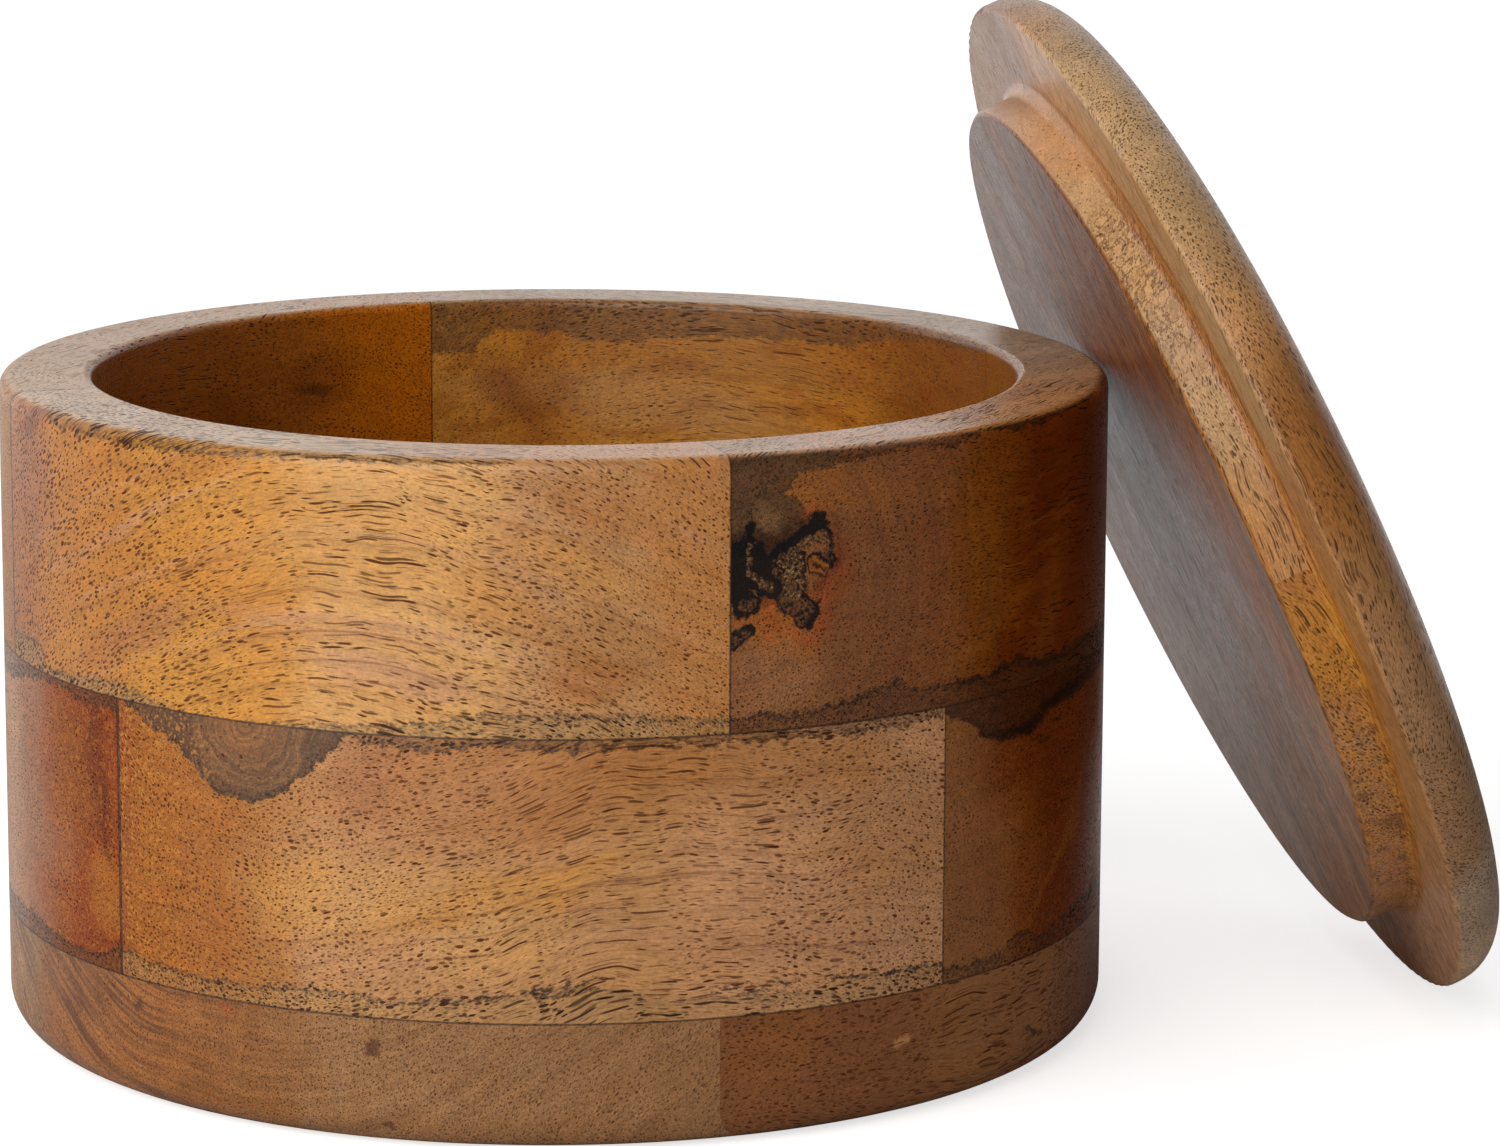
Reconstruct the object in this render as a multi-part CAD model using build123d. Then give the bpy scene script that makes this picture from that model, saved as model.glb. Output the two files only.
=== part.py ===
"""A small turned wooden firkin: a round pot glued up from two courses of blocks on a base,
and its loose lid, which leans against the pot with its lower edge on the ground.

Millimetres. The origin is at the centre of the pot's underside, +Z is up, and -Y is the
front. Azimuths are in degrees, anticlockwise from +X seen from above.
"""
import os
from math import cos, radians, sin

from build123d import *

# Pot
bore_radius = 45.9
wall_thickness = 9.1
base_height = 12.5
middle_course_height = 26.8
top_course_height = 25.8
base_edge_radius = 3.9
rim_outer_edge_radius = 1.3
rim_inner_edge_radius = 0.8
outer_radius = bore_radius + wall_thickness
rim_height = base_height + middle_course_height + top_course_height

# Blocks of a course, which meet in upright glue joints
blocks_per_course = 4
block_places = ("right", "back", "left", "front")
top_course_joint_azimuth = -73.2
middle_course_joint_azimuth = -48.5

# Boards of the base, edge-glued along a straight seam
base_narrow_board_width = 15.5
base_seam_azimuth = -30.0

# Lid
lid_thickness = 6.4
lid_top_edge_radius = 5.0
lid_lower_edge_radius = 0.6
spigot_clearance = 0.4
spigot_depth = 4.6
spigot_edge_chamfer = 0.4
spigot_radius = bore_radius - spigot_clearance
lid_narrow_board_width = 10.7
lid_seam_azimuth = -106.0

# How the lid leans on the pot
lean_angle = 24.2
lean_azimuth = 7.9
lean_gap = 0.2
lid_side_shift = -1.2

right_angle = 90.0
full_turn = 360.0
cutter_overrun = 10.0


def half_plane_face(corners):
    """A face in the XZ plane, through corners given as (radius, height)."""
    return Plane.XZ * make_face(Polyline(*corners, close=True))


def corner_at(face, radius, height):
    """The corner of a half-section that lies at (radius, height)."""
    return face.vertices().sort_by_distance((radius, 0, height))[0]


def fillet_at(face, radius, height, fillet_radius):
    """Round the corner of a half-section that lies at (radius, height)."""
    return fillet([corner_at(face, radius, height)], fillet_radius)


def course_section(bottom, height):
    """The half-section of one course of the pot's wall."""
    top = bottom + height
    return half_plane_face([
        (bore_radius, bottom),
        (outer_radius, bottom),
        (outer_radius, top),
        (bore_radius, top),
    ])


def middle_course_section():
    return course_section(base_height, middle_course_height)


def top_course_section():
    """The upper course, with the softened edges of the rim."""
    section = course_section(base_height + middle_course_height, top_course_height)
    section = fillet_at(section, outer_radius, rim_height, rim_outer_edge_radius)
    return fillet_at(section, bore_radius, rim_height, rim_inner_edge_radius)


def course_blocks(section, joint_azimuth):
    """The blocks of a course: equal sectors of its ring, counted from one of its joints."""
    arc = full_turn / blocks_per_course
    return [
        revolve(Rot(Z=joint_azimuth + k * arc) * section, Axis.Z, revolution_arc=arc)
        for k in range(blocks_per_course)
    ]


def base_disc():
    """The round base, with its lower edge rounded over."""
    section = half_plane_face([
        (0, 0),
        (outer_radius, 0),
        (outer_radius, base_height),
        (0, base_height),
    ])
    section = fillet_at(section, outer_radius, 0, base_edge_radius)
    return revolve(section, Axis.Z)


def lid_disc():
    """The lid as it sits when closed: its seating face is at z = 0, with the spigot below.

    The fillet at the spigot's root clears the pot's softened inner edge."""
    section = half_plane_face([
        (0, -spigot_depth),
        (spigot_radius, -spigot_depth),
        (spigot_radius, 0),
        (outer_radius, 0),
        (outer_radius, lid_thickness),
        (0, lid_thickness),
    ])
    section = fillet_at(section, outer_radius, lid_thickness, lid_top_edge_radius)
    section = fillet_at(section, outer_radius, 0, lid_lower_edge_radius)
    section = chamfer([corner_at(section, spigot_radius, -spigot_depth)], spigot_edge_chamfer)
    section = fillet_at(section, spigot_radius, 0, spigot_clearance + rim_inner_edge_radius)
    return revolve(section, Axis.Z)


def split_boards(disc, narrow_board_width, seam_azimuth):
    """The two boards of a disc: the wide one, and the narrow one beyond the seam."""
    reach = outer_radius + cutter_overrun
    beyond_seam = Rot(Z=seam_azimuth) * Pos(X=outer_radius - narrow_board_width) * Box(
        2 * reach, 2 * reach, 2 * reach, align=(Align.MIN, Align.CENTER, Align.CENTER)
    )
    return disc - beyond_seam, disc & beyond_seam


def lean():
    """The closed lid's move to its lean: the flat of the spigot is against the rim's outer
    edge, and the lowest point of the lid is on the ground."""
    across = cos(radians(lean_angle))
    down = sin(radians(lean_angle))
    edge_circle = outer_radius - lid_lower_edge_radius
    centre_height = edge_circle * across + lid_lower_edge_radius * (1 - down)
    rim_circle = outer_radius - rim_outer_edge_radius
    rim_rise = rim_height - rim_outer_edge_radius - centre_height
    standoff = spigot_depth + rim_outer_edge_radius + lean_gap
    centre_distance = rim_circle + (standoff + rim_rise * down) / across
    place = Pos(centre_distance, lid_side_shift, centre_height)
    return Rot(Z=lean_azimuth) * place * Rot(Y=right_angle - lean_angle)


def build_nodes():
    """Every piece by its node's name."""
    nodes = {}
    courses = {
        "top": (top_course_section(), top_course_joint_azimuth),
        "middle": (middle_course_section(), middle_course_joint_azimuth),
    }
    for course, (section, joint_azimuth) in courses.items():
        for place, block in zip(block_places, course_blocks(section, joint_azimuth)):
            nodes[f"{course}_{place}_block"] = block
    base_boards = split_boards(base_disc(), base_narrow_board_width, base_seam_azimuth)
    nodes["base_wide_board"], nodes["base_narrow_board"] = base_boards
    lid_boards = split_boards(lid_disc(), lid_narrow_board_width, lid_seam_azimuth)
    nodes["lid_wide_board"], nodes["lid_narrow_board"] = [lean() * board for board in lid_boards]
    return nodes


os.makedirs("parts", exist_ok=True)
for name, solid in build_nodes().items():
    export_step(solid, f"parts/{name}.step")
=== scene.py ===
"""Looks of a small turned wooden pot: blocks of oiled wood glued up in two courses on a base
of boards, with its loose lid leaning on the rim.

Objects are in metres. Inside the wood's node trees lengths are in millimetres and angles in
degrees: round the pot from the front towards +X, and round the lid from its near side upwards.
"""

from math import cos, pi, radians, sin

import bpy
from mathutils import Matrix, Vector

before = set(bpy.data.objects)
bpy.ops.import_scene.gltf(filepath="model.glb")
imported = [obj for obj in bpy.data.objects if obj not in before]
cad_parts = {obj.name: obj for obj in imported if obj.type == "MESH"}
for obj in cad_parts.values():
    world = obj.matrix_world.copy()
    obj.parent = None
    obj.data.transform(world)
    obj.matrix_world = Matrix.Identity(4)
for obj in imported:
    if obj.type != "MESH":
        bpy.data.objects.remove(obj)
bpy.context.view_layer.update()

WALL_RADIUS = 55.0
RIM_HEIGHT = 65.1
COURSE_HEIGHTS = (12.5, 39.3)
LID_CENTRE = (66.13, 7.97, 49.97)
LEAN_ANGLE = 24.2
LEAN_AZIMUTH = 7.9
MM_PER_METRE = 1000.0
DEGREES_PER_RADIAN = 180 / pi

# Camera, fitted to the photo's outlines
CAMERA_PLACE = (0, -0.5622, 0.1536)
CAMERA_YAW = 1.985
CAMERA_PITCH = 11.02
CAMERA_ROLL = 0.268
SENSOR_WIDTH = 36.0
LENS = 136.99

# Floor: how bright it shows to the camera, near and far, and in reflections
FLOOR_SPAN = 6.0
FLOOR_DROP = 0.00005
PAPER_DARK = (0.86, 0.86, 0.86, 1.0)
PAPER_PALE = (0.92, 0.92, 0.92, 1.0)
FLOOR_GLOW = 0.68
FAR_GLOW = 0.2
BACKDROP_GLOW = 0.9
NOOK_GLOW = 0.25
NOOK_PLACE = 0.035
FRONT_DIM = 0.7

# World: a white backdrop, which lights the object less than it shows in gloss
BACKDROP_LIGHT = 0.58
ROOM_LIGHT = 0.05

# Finish of the wood, with how far patches and lines are blurred in angle and height
SOFT_BLUR = (9.0, 5.0, 0.0)
RAGGED_BLUR = (2.6, 2.2, 0.0)
VESSEL_RELIEF = 0.06
GLUE_LINE = (0.16, 0.04)
# How much wider, to each side, the glue lines at these angles are
WIDER_JOINTS = {-138.5: 0.3, -73.2: 0.3, -48.5: 0.12}
# Heights over which the rim's top is painted paler, a painted light and sheen
RIM_LIGHT_HEIGHTS = (RIM_HEIGHT - 0.35, RIM_HEIGHT - 0.05)

# Tones of the wood in plain light, tuned until areas of the render had the photo's mean colours
TONES = {
    "straw": (214, 157, 88),
    "honey": (207, 140, 53),
    "gold": (200, 128, 42),
    "tan": (196, 140, 86),
    "pink_tan": (200, 142, 98),
    "caramel": (180, 116, 52),
    "copper": (172, 99, 29),
    "ember": (186, 84, 30),
    "rose": (168, 108, 70),
    "brick": (156, 78, 22),
    "clay": (146, 64, 12),
    "cocoa": (144, 82, 38),
    "amber": (152, 88, 22),
    "treacle": (118, 50, 2),
    "rust": (100, 34, 1),
    "bark": (142, 86, 44),
    "umber": (100, 58, 30),
    "olive": (134, 102, 58),
    "pale_grey": (176, 134, 82),
    "grey_brown": (96, 64, 36),
    "saddle": (158, 101, 50),
    "wheat": (194, 152, 104),
    "fawn": (165, 117, 72),
    "walnut": (124, 84, 48),
    "russet": (180, 108, 44),
    "bay": (132, 68, 12),
    "taupe": (170, 124, 83),
    "plum": (120, 68, 46),
    "hazel": (176, 124, 70),
    "cream": (212, 152, 102),
    # A greyish tone, used as a painted sheen at the lower end of the lid's edge
    "dust": (184, 150, 118),
    "syrup": (196, 108, 14),
    "sienna": (198, 126, 46),
    "toast": (198, 132, 70),
    "oat": (208, 164, 114),
    "pale": (232, 174, 116),
    # A pale tone for painted sheen, on the rim's top and at the lower end of the lid's edge
    "pale_sheen": (226, 184, 140),
    "apricot": (222, 150, 76),
    "char": (58, 24, 6),
    "vessel": (90, 40, 11),
    "dark": (52, 30, 16),
    "soot": (34, 26, 18),
    "black": (14, 10, 8),
}


def albedo(name):
    """The linear colour of a tone given as it looks in plain light."""
    linear = []
    for level in TONES[name]:
        c = level / 255
        linear.append(c / 12.92 if c <= 0.04045 else ((c + 0.055) / 1.055) ** 2.4)
    return (*linear, 1.0)


class Value:
    """A value in a node tree. Arithmetic on it adds math nodes."""

    def __init__(self, tree, socket):
        self.tree = tree
        self.socket = socket

    def __add__(self, other):
        return self.tree.math("ADD", self, other)

    def __sub__(self, other):
        return self.tree.math("SUBTRACT", self, other)

    def __rsub__(self, other):
        return self.tree.math("SUBTRACT", other, self)

    def __mul__(self, other):
        return self.tree.math("MULTIPLY", self, other)

    def __truediv__(self, other):
        return self.tree.math("DIVIDE", self, other)

    def __abs__(self):
        return self.tree.math("ABSOLUTE", self)


class Tree:
    """Short ways to add the shader nodes that the materials are made of."""

    def __init__(self, node_tree):
        self.nodes = node_tree.nodes
        self.links = node_tree.links

    def feed(self, socket, value):
        if isinstance(value, Value):
            self.links.new(value.socket, socket)
        else:
            socket.default_value = value

    def node(self, kind, output, inputs, **settings):
        new = self.nodes.new(kind)
        for name, setting in settings.items():
            setattr(new, name, setting)
        pairs = inputs.items() if isinstance(inputs, dict) else enumerate(inputs)
        for key, value in pairs:
            self.feed(new.inputs[key], value)
        return Value(self, new.outputs[output])

    def math(self, operation, *values):
        return self.node("ShaderNodeMath", 0, values, operation=operation)

    def vector(self, operation, *values, output=0):
        return self.node("ShaderNodeVectorMath", output, values, operation=operation)

    def join(self, x, y, z):
        return self.node("ShaderNodeCombineXYZ", 0, (x, y, z))

    def split(self, vector):
        separate = self.nodes.new("ShaderNodeSeparateXYZ")
        self.feed(separate.inputs[0], vector)
        return Value(self, separate.outputs[0]), Value(self, separate.outputs[1])

    def noise(self, at, scale, detail=2.0, rough=0.5, output=0):
        inputs = {"Vector": at, "Scale": scale, "Detail": detail, "Roughness": rough}
        return self.node("ShaderNodeTexNoise", output, inputs)

    def smooth(self, value, start, end):
        """0 up to start and 1 from end on, or the other way round if end is the lower."""
        inputs = {0: value, 1: start, 2: end, 3: 0.0, 4: 1.0}
        return self.node("ShaderNodeMapRange", 0, inputs, interpolation_type="SMOOTHSTEP")

    def spread(self, value, low, high):
        """Stretch a noise's usual 0.25 to 0.75 over low to high."""
        inputs = {0: value, 1: 0.25, 2: 0.75, 3: low, 4: high}
        return self.node("ShaderNodeMapRange", 0, inputs, clamp=True)

    def curve(self, value, points):
        """A smooth curve through points (value, result), level past its ends."""
        xs, ys = [p[0] for p in points], [p[1] for p in points]
        x0, x1, y0, y1 = min(xs), max(xs), min(ys), max(ys)
        share = self.node("ShaderNodeMapRange", 0, {0: value, 1: x0, 2: x1, 3: 0.0, 4: 1.0}, clamp=True)
        result = self.node("ShaderNodeFloatCurve", 0, {"Value": share})
        new = result.socket.node
        line = new.mapping.curves[0]
        height = (y1 - y0) or 1.0
        for k, (x, y) in enumerate(points):
            at = ((x - x0) / (x1 - x0), (y - y0) / height)
            if k < 2:
                line.points[k].location = at
            else:
                line.points.new(*at)
        new.mapping.update()
        return result * height + y0

    def mix(self, share, a, b):
        inputs = {0: share, 6: a, 7: b}
        return self.node("ShaderNodeMix", 2, inputs, data_type="RGBA", clamp_factor=True)

    def tones(self, value, stops):
        """Tones blended along a value, through stops (value, tone)."""
        x0, x1 = stops[0][0], stops[-1][0]
        share = self.node("ShaderNodeMapRange", 0, {0: value, 1: x0, 2: x1, 3: 0.0, 4: 1.0})
        result = self.node("ShaderNodeValToRGB", 0, {0: share})
        ramp = result.socket.node.color_ramp
        ramp.interpolation = "EASE"
        ramp.elements.remove(ramp.elements[1])
        for k, (x, tone) in enumerate(stops):
            at = (x - x0) / (x1 - x0)
            stop = ramp.elements.new(at) if k else ramp.elements[0]
            stop.position = at
            stop.color = albedo(tone)
        return result


class Wood(Tree):
    """A material for one block or board, cut from solid wood.

    Its grain runs along the tangent at the angle `fibre`. `axes` gives the origin and the
    directions at angle 0, at angle 90 and up, in the row's frame."""

    def __init__(self, node_name, axes, fibre, bow, seed):
        self.material = bpy.data.materials.new(node_name + "_wood")
        self.material.use_nodes = True
        super().__init__(self.material.node_tree)
        self.nodes.clear()
        origin, near, side, up = axes
        turn = radians(fibre)
        along = side * cos(turn) - near * sin(turn)
        out = near * cos(turn) + side * sin(turn)
        coordinates = self.nodes.new("ShaderNodeTexCoord")
        place = self.vector("SCALE", Value(self, coordinates.outputs["Object"]))
        place.socket.node.inputs["Scale"].default_value = MM_PER_METRE
        place = self.vector("SUBTRACT", place, origin)
        self.u = self.vector("DOT_PRODUCT", place, along, output=1)
        self.v = self.vector("DOT_PRODUCT", place, out, output=1)
        self.z = self.vector("DOT_PRODUCT", place, up, output=1)
        self.angle = self.math("ARCTAN2", self.u, self.v) * DEGREES_PER_RADIAN + fibre
        self.place = self.vector("ADD", place, (seed * 37.0, seed * 11.0, seed * 23.0))
        drift = self.noise(self.place, 0.045, 1.0, output=1)
        drift = self.vector("SUBTRACT", drift, (0.5, 0.5, 0.5))
        self.drift = self.node("ShaderNodeSeparateXYZ", 0, (drift,))
        self.w = self.z - bow(self) + self.drift * 5.0
        flat = self.join(self.angle, self.z, 0.0)
        cloud = self.noise(self.place, 0.14, 2.0, output=1)
        cloud = self.vector("SUBTRACT", cloud, (0.5, 0.5, 0.5))
        self.soft_map = self.vector("MULTIPLY_ADD", cloud, SOFT_BLUR, flat)
        rag = self.noise(self.place, 0.75, 4.0, 0.65, output=1)
        rag = self.vector("SUBTRACT", rag, (0.5, 0.5, 0.5))
        self.ragged_map = self.vector("MULTIPLY_ADD", rag, RAGGED_BLUR, flat)
        self.grain = self.join(self.u, self.v, self.w)
        self.seed = seed
        self.colour = None
        # Where the wood is stained, is clear of vessels and shows no glue line
        self.stained = None
        self.clear = None
        self.unglued = None
        # The specular level, the vessels' width, the share of small ones, and how short they are
        self.sheen = 0.5
        self.swell = 1.0
        self.fines = 0.6
        self.run = 0.42

    def streaks(self, shrink_along, scale, offset, *detail):
        """Noise in the grain's coordinates, squeezed along the fibre so that it comes out long."""
        factors = (scale / shrink_along, scale, scale)
        shift = (self.seed * 5.3 + offset, self.seed * 7.1 + offset, self.seed * 3.7)
        return self.noise(self.vector("MULTIPLY_ADD", self.grain, factors, shift), 1.0, *detail)

    def distance(self, x, y):
        """The length of (x, y)."""
        return self.vector("LENGTH", self.join(x, y, 0.0), output=1)

    def soft_angle(self):
        """The angle, blurred unevenly, so that one tone runs softly into the next."""
        return self.split(self.soft_map)[0]

    def ground(self, stops):
        """The first tones, blended along the angle."""
        self.colour = self.tones(self.soft_angle(), stops)

    def paint(self, tone, share):
        """Lay a tone, or a colour of the tree, over what is painted so far."""
        colour = albedo(tone) if isinstance(tone, str) else tone
        self.colour = self.mix(share, self.colour, colour)

    def layers(self, mask, rows):
        """Paint rows of (tone, value, start, end, share) through a mask, in full where value is past end."""
        for tone, value, start, end, share in rows:
            self.paint(tone, self.smooth(value, start, end) * mask * share)

    def blob(self, place, size, turn=0.0, soft=0.5, ragged=False):
        """1 inside an ellipse at place (angle, height), falling to 0 past its edge."""
        inputs = {
            0: self.ragged_map if ragged else self.soft_map,
            1: (*place, 0.0),
            2: (0.0, 0.0, radians(turn)),
            3: (*size, 1.0),
        }
        local = self.node("ShaderNodeMapping", 0, inputs, vector_type="TEXTURE")
        away = self.vector("LENGTH", local, output=1)
        return self.smooth(away, 1 + soft, 1 - soft)

    def patches(self, rows, ragged=False):
        """Paint patches, given as (tone, place, size, turn, share) and now and then soft."""
        for tone, place, size, turn, share, *soft in rows:
            self.paint(tone, self.blob(place, size, turn, *soft, ragged=ragged) * share)

    def blob_at(self, u, v, size):
        """1 inside a circle at (u, v) in the plane of the grain."""
        away = self.distance(self.u - u, self.v - v)
        return self.smooth(away, size * 1.4, size * 0.6)

    def stroke(self, start, end, radius, soft=0.22):
        """1 within a radius of the ragged line from start to end, both (angle, height)."""
        reach = (end[0] - start[0], end[1] - start[1], 0.0)
        length = reach[0] ** 2 + reach[1] ** 2
        away = self.vector("SUBTRACT", self.ragged_map, (*start, 0.0))
        share = self.vector("DOT_PRODUCT", away, tuple(c / length for c in reach), output=1)
        share = self.math("MINIMUM", self.math("MAXIMUM", share, 0.0), 1.0)
        foot = self.node("ShaderNodeVectorMath", 0, {0: reach, 3: share}, operation="SCALE")
        away = self.vector("LENGTH", self.vector("SUBTRACT", away, foot), output=1)
        return self.smooth(away, radius + soft, radius - soft * 0.55)

    def strokes(self, lines):
        """1 within any of several strokes."""
        whole = None
        for line in lines:
            part = self.stroke(*line)
            whole = part if whole is None else self.math("MAXIMUM", whole, part)
        return whole

    def by_angle(self, start, end):
        """0 at the start angle, rising to 1 at the end."""
        return self.smooth(self.angle, start, end)

    def by_height(self, start, end):
        """0 at the start height, rising to 1 at the end."""
        return self.smooth(self.z, start, end)

    def rise(self, points):
        """Height over a ragged line through points (angle, height)."""
        x, y = self.split(self.ragged_map)
        return y - self.curve(x, points)

    def stain(self, points, side, tone, border=0.8, share=0.6, grains=0.8):
        """Stained wood above (side 1) or below (side -1) a line, darkest and speckled at its border."""
        depth = self.rise(points) * side
        specks = self.spread(self.streaks(1.9, 3.4, 6.0, 3.0, 0.6), -1.0, 1.0)
        inside = self.smooth(depth + specks * 0.35, -0.2, 0.3)
        cloudy = self.spread(self.streaks(1.6, 1.3, 14.0, 3.0, 0.65), 0.45, 1.3)
        self.paint(tone, inside * cloudy * share)
        near = self.smooth(depth, border + 0.8, border * 0.3)
        grain = self.smooth(specks, 0.0, 0.5) * (near * 0.6 + 0.35)
        line = self.smooth(depth, border * 0.8, 0.1) * self.smooth(specks, -0.9, 0.1) * 0.75
        grain = self.math("MAXIMUM", grain, line) * inside * grains
        self.paint("soot", grain)
        self.stained = inside if self.stained is None else self.math("MAXIMUM", self.stained, inside)

    def vessels(self, crowd, radius, offset, breaks=0.37, rows=0.5):
        """Cut vessels: tubes along the wandering fibre, `crowd` to the millimetre across it."""
        wander = self.noise(self.grain, 0.17, 1.0, output=1)
        wander = self.vector("MULTIPLY_ADD", wander, (1.7, 1.7, 1.7), self.grain)
        wander = self.vector("ADD", wander, (0.0, offset, offset))
        parts = self.node("ShaderNodeSeparateXYZ", 0, (wander,)).socket.node.outputs
        across = self.join(Value(self, parts[1]), Value(self, parts[2]), 0.0)
        inputs = {"Vector": across, "Scale": crowd}
        cell = self.node("ShaderNodeTexVoronoi", 0, inputs, voronoi_dimensions="2D")
        chance = Value(self, cell.socket.node.outputs["Color"])
        chances = self.node("ShaderNodeSeparateColor", 0, (chance,)).socket.node.outputs
        first, second = Value(self, chances[0]), Value(self, chances[1])
        along = self.join(self.u * self.run + second * 13.0, first * 91.0, second * 47.0)
        missing = breaks if self.clear is None else self.clear * 0.35 + breaks
        present = self.smooth(self.noise(along, 1.0, 0.0), missing - 0.05, missing + 0.07)
        row = self.spread(self.streaks(9.0, 0.42, offset, 2.0), 1 - rows, 1 + rows * 0.7)
        width = (first * 0.6 + 0.7) * row * (radius * crowd) * self.swell
        if self.stained is not None:
            width = width * (self.stained * 0.15 + 1.0)
        shape = self.smooth(cell - width, 0.05, -0.05)
        return shape * present * (second * 0.35 + 0.65)


def lid_axes():
    """The middle of the lid's seating face, its near side, up its slope, and out of its underside."""
    tilt, turn = radians(LEAN_ANGLE), radians(LEAN_AZIMUTH)
    outward = Vector((cos(turn), sin(turn), 0))
    near = Vector((sin(turn), -cos(turn), 0))
    up_slope = Vector((0, 0, cos(tilt))) - outward * sin(tilt)
    under = Vector((0, 0, -sin(tilt))) - outward * cos(tilt)
    return Vector(LID_CENTRE), near, up_slope, under


def no_bow(wood):
    return 0.0


def arch(rate):
    """Grain that arches over, falling away to both sides."""
    def bow(wood):
        return wood.u * wood.u * -rate
    return bow


def trough(rate, centre):
    """Grain that sags across the fibre, as on the end of a flat-sawn board."""
    def bow(wood):
        off = wood.v - centre
        return off * off * rate
    return bow


def sway(points):
    """Grain that follows a drawn line (angle, height)."""
    def bow(wood):
        return wood.curve(wood.angle, points)
    return bow


def add_figure(wood, lines, strength=0.6):
    """Thin ring lines at given heights of the bowed grain, each with a faint darker side."""
    wobble = wood.spread(wood.streaks(8.0, 0.16, 3.0, 2.0), -0.7, 0.7)
    height = wood.w + wobble
    fade = wood.spread(wood.streaks(5.0, 0.12, 8.0), 0.1, 1.3)
    for level, tone, width in lines:
        near = abs(height - level)
        wood.paint(tone, wood.smooth(near, width * 0.6, width * 0.1) * fade * strength)
        below = wood.smooth(height, level - width * 4, level) * wood.smooth(height, level + 0.05, level)
        wood.paint(tone, below * fade * (strength * 0.25))


def growth_lines(wood, tone, spacing, strength):
    """Thin broken lines, where the rings of growth meet the surface."""
    rings = wood.noise(wood.join(0.0, wood.drift * 2.0, wood.w / spacing), 1.0, 1.0)
    near = abs(rings - 0.5)
    fade = wood.spread(wood.streaks(5.0, 0.2, 8.0, 2.0), 0.0, 1.3)
    wood.paint(tone, wood.smooth(near, 0.08, 0.015) * fade * strength)


def painted_rim_light(wood):
    """The flat top of the rim, painted paler than the wall: a painted light and sheen, more so towards the
    left.
    """
    mottled = wood.spread(wood.streaks(6.0, 0.35, 12.0, 3.0), 0.5, 1.2)
    # Painted light: the rim's top is painted paler, more so towards the left
    share = wood.by_angle(-5, -40) * 0.15 + 0.72
    rim_light_tones = wood.tones(wood.angle, [
        (-74, "pale_sheen"), (-32, "pale_sheen"), (-5, "apricot"), (75, "apricot"), (105, "wheat"),
        (190, "wheat"), (215, "oat"), (265, "oat"), (287, "pale_sheen"),
    ])
    wood.paint(rim_light_tones, wood.by_height(*RIM_LIGHT_HEIGHTS) * mottled * share)


def glue_lines(wood, edges):
    """Dark lines where the piece meets its neighbours, at the given angles and heights."""
    gap = None
    for kind, level in edges:
        if kind == "angle":
            off = (wood.angle - level) * (WALL_RADIUS / DEGREES_PER_RADIAN)
        else:
            off = wood.z - level
        off = abs(off)
        if level in WIDER_JOINTS:
            off = off - WIDER_JOINTS[level]
        gap = off if gap is None else wood.math("MINIMUM", gap, off)
    if wood.unglued is not None:
        gap = gap + wood.unglued
    patchy = wood.spread(wood.noise(wood.place, 0.9, 3.0), 0.5, 1.0)
    wood.paint("dark", wood.smooth(gap, *GLUE_LINE) * patchy)


def finish_wood(wood, cut_tone="vessel", cut_size=0.09, crowd=2.25, coarse=1.0, depth=1.0, edges=()):
    """Fibres, cut vessels, glue lines, sheen and relief over the painted tones."""
    rings = wood.noise(wood.join(0.0, wood.drift * 3.0, wood.w * 1.3), 1.0, 4.0, 0.7)
    bands = wood.streaks(16.0, 0.55, 1.0, 3.0, 0.65)
    hue = wood.spread(wood.streaks(9.0, 0.3, 7.0, 3.0, 0.6), -1.0, 1.0)
    fibres = wood.streaks(9.0, 5.0, 2.0, 3.0, 0.65)
    grit = wood.streaks(1.5, 4.2, 4.0, 3.0, 0.7)
    light = wood.spread(bands, -0.13, 0.13) + wood.spread(rings, -0.10, 0.10)
    light = light + wood.spread(fibres, -0.24, 0.24) + wood.spread(grit, -0.24, 0.24) * coarse + 1.0
    shade = wood.join(light, light * (hue * 0.04 + 1.0), light * (hue * 0.16 + 1.0))
    wood.colour = wood.vector("MULTIPLY", wood.colour, shade)
    large = wood.vessels(crowd, cut_size, 0.0)
    small = wood.vessels(crowd * 1.7, cut_size * 0.5, 31.0, rows=0.2)
    cut = wood.math("MAXIMUM", large, small * wood.fines) * depth
    wood.paint(cut_tone, cut)
    if wood.stained is not None:
        wood.paint("soot", cut * wood.stained * 0.7)
    if edges:
        glue_lines(wood, edges)
    haze = wood.noise(wood.place, 0.08, 2.0)
    roughness = wood.spread(haze, 0.25, 0.34) + cut * 0.12 + wood.spread(fibres, -0.04, 0.04)
    relief = wood.spread(fibres, -0.006, 0.006) + wood.spread(grit, -0.005, 0.005) - cut * VESSEL_RELIEF
    bump = wood.node("ShaderNodeBump", 0, {"Strength": 1.0, "Distance": 0.001, "Height": relief})
    inputs = {
        "Base Color": wood.colour,
        "Roughness": roughness,
        "Normal": bump,
        "Specular IOR Level": wood.sheen - cut * 0.35,
    }
    shader = wood.node("ShaderNodeBsdfPrincipled", 0, inputs)
    output = wood.nodes.new("ShaderNodeOutputMaterial")
    wood.links.new(shader.socket, output.inputs["Surface"])
    return wood.material


def speckle(wood, tone, share, scale=1.9):
    """Pale crumbs of colour between the fibres, as on wood cut across its grain."""
    crumbs = wood.noise(wood.place, scale, 3.0, 0.6)
    wood.paint(tone, wood.smooth(crumbs, 0.5, 0.64) * share)


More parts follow.
